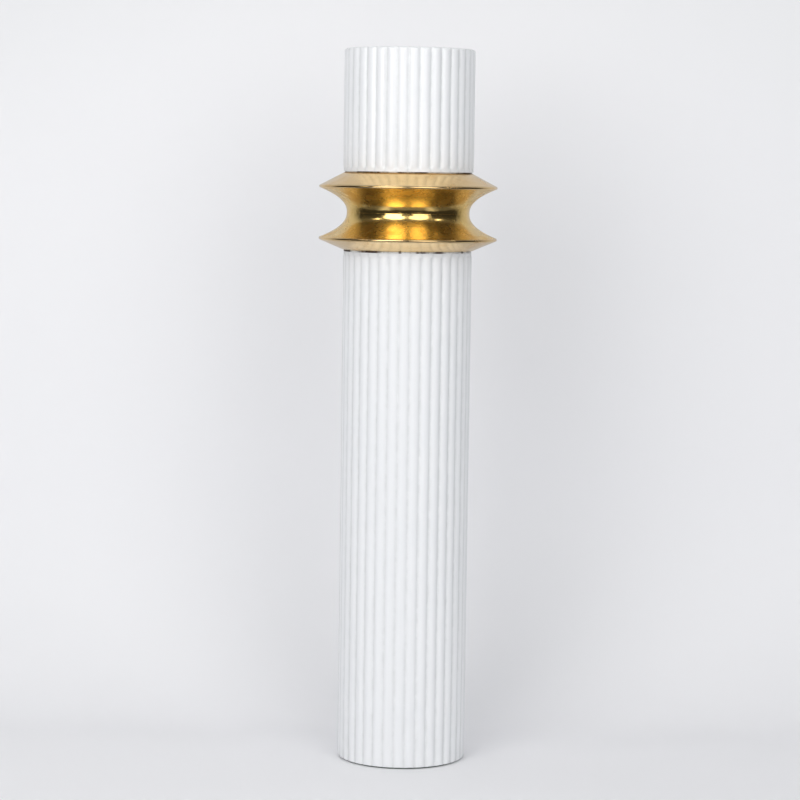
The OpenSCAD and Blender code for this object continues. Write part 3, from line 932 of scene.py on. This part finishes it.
def sweep_material():
    """Pale paper, seen and lit from its front only.

    Painted reflection: glossy rays see a near-black emission in place of the paper everywhere but two bright areas in
    front and one behind, standing in for an unlit room; seen directly or in diffuse light the paper stays evenly
    pale.
    """
    material = bpy.data.materials.new("studio_paper")
    material.use_nodes = True
    tree = material.node_tree
    links = tree.links
    shader = tree.nodes["Principled BSDF"]
    shader.inputs["Base Color"].default_value = (0.882, 0.882, 0.902, 1.0)
    shader.inputs["Roughness"].default_value = 0.9
    place = tree.nodes.new("ShaderNodeTexCoord")
    parts = tree.nodes.new("ShaderNodeSeparateXYZ")
    links.new(place.outputs["Object"], parts.inputs[0])
    across = math_node(tree, "ABSOLUTE", parts.outputs[0])
    bearing = math_node(tree, "ARCTAN2", across, math_node(tree, "MULTIPLY", parts.outputs[1], -1.0))
    # Painted reflection: how strongly glossy rays see the near-black emission instead of the paper, by bearing in
    # front and by sideways distance behind.
    glossy_darkening = []
    for value, start, end, strong, weak in (
        (bearing, 0.72, 1.10, 0.0, 0.86), (across, 0.25, 1.35, 0.30, 0.86), (bearing, 0.50, 0.85, 0.78, 0.0),
    ):
        pool = tree.nodes.new("ShaderNodeMapRange")
        pool.interpolation_type = "SMOOTHSTEP"
        links.new(value, pool.inputs["Value"])
        pool.inputs["From Min"].default_value = start
        pool.inputs["From Max"].default_value = end
        pool.inputs["To Min"].default_value = strong
        pool.inputs["To Max"].default_value = weak
        glossy_darkening.append(pool.outputs["Result"])
    behind = math_node(tree, "GREATER_THAN", bearing, 1.62)
    front_glossy_darkening = math_node(tree, "MAXIMUM", glossy_darkening[0], glossy_darkening[2])
    front = math_node(tree, "SUBTRACT", front_glossy_darkening, behind, clamp=True)
    back = math_node(tree, "MULTIPLY", glossy_darkening[1], behind)
    path = tree.nodes.new("ShaderNodeLightPath")
    # Glossy rays only: the paper, or the near-black emission painted in as reflection of an unlit room.
    dim = math_node(tree, "MULTIPLY", math_node(tree, "ADD", front, back), path.outputs["Is Glossy Ray"])
    dark = tree.nodes.new("ShaderNodeEmission")
    dark.inputs["Color"].default_value = (0.02, 0.018, 0.016, 1.0)
    lit = tree.nodes.new("ShaderNodeMixShader")
    links.new(dim, lit.inputs[0])
    links.new(shader.outputs[0], lit.inputs[1])
    links.new(dark.outputs[0], lit.inputs[2])
    reach = tree.nodes.new("ShaderNodeVectorMath")
    reach.operation = "LENGTH"
    links.new(place.outputs["Object"], reach.inputs[0])
    fade = tree.nodes.new("ShaderNodeMapRange")
    fade.interpolation_type = "SMOOTHSTEP"
    fade.inputs["From Min"].default_value = FADE_FROM
    fade.inputs["From Max"].default_value = FADE_TO
    links.new(reach.outputs["Value"], fade.inputs["Value"])
    haze = tree.nodes.new("ShaderNodeEmission")
    haze.inputs["Color"].default_value = (*SKY_SEEN, 1.0)
    far = tree.nodes.new("ShaderNodeMixShader")
    links.new(math_node(tree, "MULTIPLY", fade.outputs["Result"], path.outputs["Is Camera Ray"]), far.inputs[0])
    links.new(lit.outputs[0], far.inputs[1])
    links.new(haze.outputs[0], far.inputs[2])
    clear = tree.nodes.new("ShaderNodeBsdfTransparent")
    sides = tree.nodes.new("ShaderNodeMixShader")
    facing = tree.nodes.new("ShaderNodeNewGeometry")
    foot = math_node(tree, "LESS_THAN", reach.outputs["Value"], UNDER_FOOT)
    links.new(math_node(tree, "MAXIMUM", facing.outputs["Backfacing"], foot), sides.inputs[0])
    links.new(far.outputs[0], sides.inputs[1])
    links.new(clear.outputs[0], sides.inputs[2])
    links.new(sides.outputs[0], tree.nodes["Material Output"].inputs["Surface"])
    return material


def make_sweep():
    """Floor that curves up into a backdrop, made by drawing its side view out sideways."""
    outline = [(-SWEEP_FRONT, 0.0)] + arc((WALL_Y - SWEEP_R, SWEEP_R), SWEEP_R, -90, 0, 24)
    outline.append((WALL_Y, SWEEP_TOP))
    bm = bmesh.new()
    verts = [bm.verts.new((-SWEEP_HALF, y, z)) for y, z in outline]
    edges = [bm.edges.new(pair) for pair in zip(verts, verts[1:])]
    drawn = bmesh.ops.extrude_edge_only(bm, edges=edges)["geom"]
    bmesh.ops.translate(bm, vec=(2 * SWEEP_HALF, 0, 0), verts=[v for v in drawn if isinstance(v, bmesh.types.BMVert)])
    bmesh.ops.recalc_face_normals(bm, faces=bm.faces)
    bm.faces.ensure_lookup_table()
    if bm.faces[0].normal.z < 0:
        bmesh.ops.reverse_faces(bm, faces=bm.faces)
    for face in bm.faces:
        face.smooth = True
    mesh = bpy.data.meshes.new("studio_sweep")
    bm.to_mesh(mesh)
    bm.free()
    sweep = bpy.data.objects.new("studio_sweep", mesh)
    bpy.context.scene.collection.objects.link(sweep)
    mesh.materials.append(sweep_material())


def soft_light(name, azimuth, elevation, distance, size, power, colour=(1, 1, 1)):
    """An oval soft box aimed at the collar from that bearing; azimuth 0 is the front."""
    data = bpy.data.lights.new(name, "AREA")
    data.shape = "ELLIPSE"
    data.size, data.size_y = size
    data.energy = power
    data.color = colour
    lamp = bpy.data.objects.new(name, data)
    bpy.context.scene.collection.objects.link(lamp)
    a, e = math.radians(azimuth), math.radians(elevation)
    aim = Vector((0, 0, waist_z))
    back = Vector((math.sin(a) * math.cos(e), -math.cos(a) * math.cos(e), math.sin(e)))
    lamp.location = aim + back * distance
    lamp.rotation_mode = "QUATERNION"
    lamp.rotation_quaternion = back.to_track_quat("Z", "Y")
    return lamp


def make_sky():
    """Even fill for matt surfaces, a dim room with a pale ceiling for shiny ones."""
    world = bpy.data.worlds.new("studio_sky")
    bpy.context.scene.world = world
    world.use_nodes = True
    tree = world.node_tree
    tree.nodes.clear()
    links = tree.links
    place = tree.nodes.new("ShaderNodeTexCoord")
    parts = tree.nodes.new("ShaderNodeSeparateXYZ")
    links.new(place.outputs["Generated"], parts.inputs[0])
    ramp = tree.nodes.new("ShaderNodeValToRGB")
    ramp.color_ramp.interpolation = "EASE"
    stops = [(0.0, 0.06), (0.50, 0.025), (0.62, 0.03), (0.80, 0.10), (1.0, 0.25)]
    while len(ramp.color_ramp.elements) < len(stops):
        ramp.color_ramp.elements.new(0.5)
    for element, (at, level) in zip(ramp.color_ramp.elements, stops):
        element.position = at
        element.color = (level, level * 0.97, level * 0.93, 1)
    half = math_node(tree, "MULTIPLY", parts.outputs[2], 0.5)
    links.new(math_node(tree, "ADD", half, 0.5), ramp.inputs[0])
    room = tree.nodes.new("ShaderNodeBackground")
    links.new(ramp.outputs[0], room.inputs["Color"])
    fill = tree.nodes.new("ShaderNodeBackground")
    fill.inputs["Color"].default_value = (0.94, 0.97, 1.0, 1)
    fill.inputs["Strength"].default_value = 0.44
    seen = tree.nodes.new("ShaderNodeBackground")
    seen.inputs["Color"].default_value = (*SKY_SEEN, 1)
    path = tree.nodes.new("ShaderNodeLightPath")
    shiny = tree.nodes.new("ShaderNodeMixShader")
    direct = tree.nodes.new("ShaderNodeMixShader")
    links.new(path.outputs["Is Glossy Ray"], shiny.inputs[0])
    links.new(fill.outputs[0], shiny.inputs[1])
    links.new(room.outputs[0], shiny.inputs[2])
    links.new(path.outputs["Is Camera Ray"], direct.inputs[0])
    links.new(shiny.outputs[0], direct.inputs[1])
    links.new(seen.outputs[0], direct.inputs[2])
    out = tree.nodes.new("ShaderNodeOutputWorld")
    links.new(direct.outputs[0], out.inputs["Surface"])


make_sweep()
make_sky()
soft_light("key_left", -25, 19, 1.9, (1.36, 1.40), 15.5, (1.0, 0.99, 0.97))
soft_light("key_right", 21, 19, 2.7, (1.76, 2.0), 19.5, (1.0, 0.99, 0.97))
soft_light("lamp_left", -63, 32, 2.3, (0.45, 0.22), 1.2, (1.0, 0.96, 0.9))
soft_light("lamp_right", 63, 32, 2.3, (0.45, 0.22), 1.2, (1.0, 0.96, 0.9))

# ---------------------------------------------------------------------------
# Camera
# ---------------------------------------------------------------------------

CAMERA_BACK = 2.6
CAMERA_HEIGHT = 0.598
CAMERA_DOWN = 4.56
CAMERA_PAN = 0.129
CAMERA_ROLL = 0.79


def make_camera():
    """A long lens a little above the waist of the column, level but for a slight lean."""
    data = bpy.data.cameras.new("camera")
    data.sensor_width = 36
    data.lens = 115.6
    data.shift_y = -0.03
    camera = bpy.data.objects.new("camera", data)
    bpy.context.scene.collection.objects.link(camera)
    camera.location = (0, -CAMERA_BACK, CAMERA_HEIGHT)
    level = Matrix.Rotation(math.radians(90 - CAMERA_DOWN), 4, "X")
    pan = Matrix.Rotation(math.radians(CAMERA_PAN), 4, "Z")
    roll = Matrix.Rotation(math.radians(CAMERA_ROLL), 4, "Z")
    camera.matrix_world = Matrix.Translation(camera.location) @ pan @ level @ roll
    bpy.context.scene.camera = camera


make_camera()
bpy.context.scene.view_settings.view_transform = "Standard"
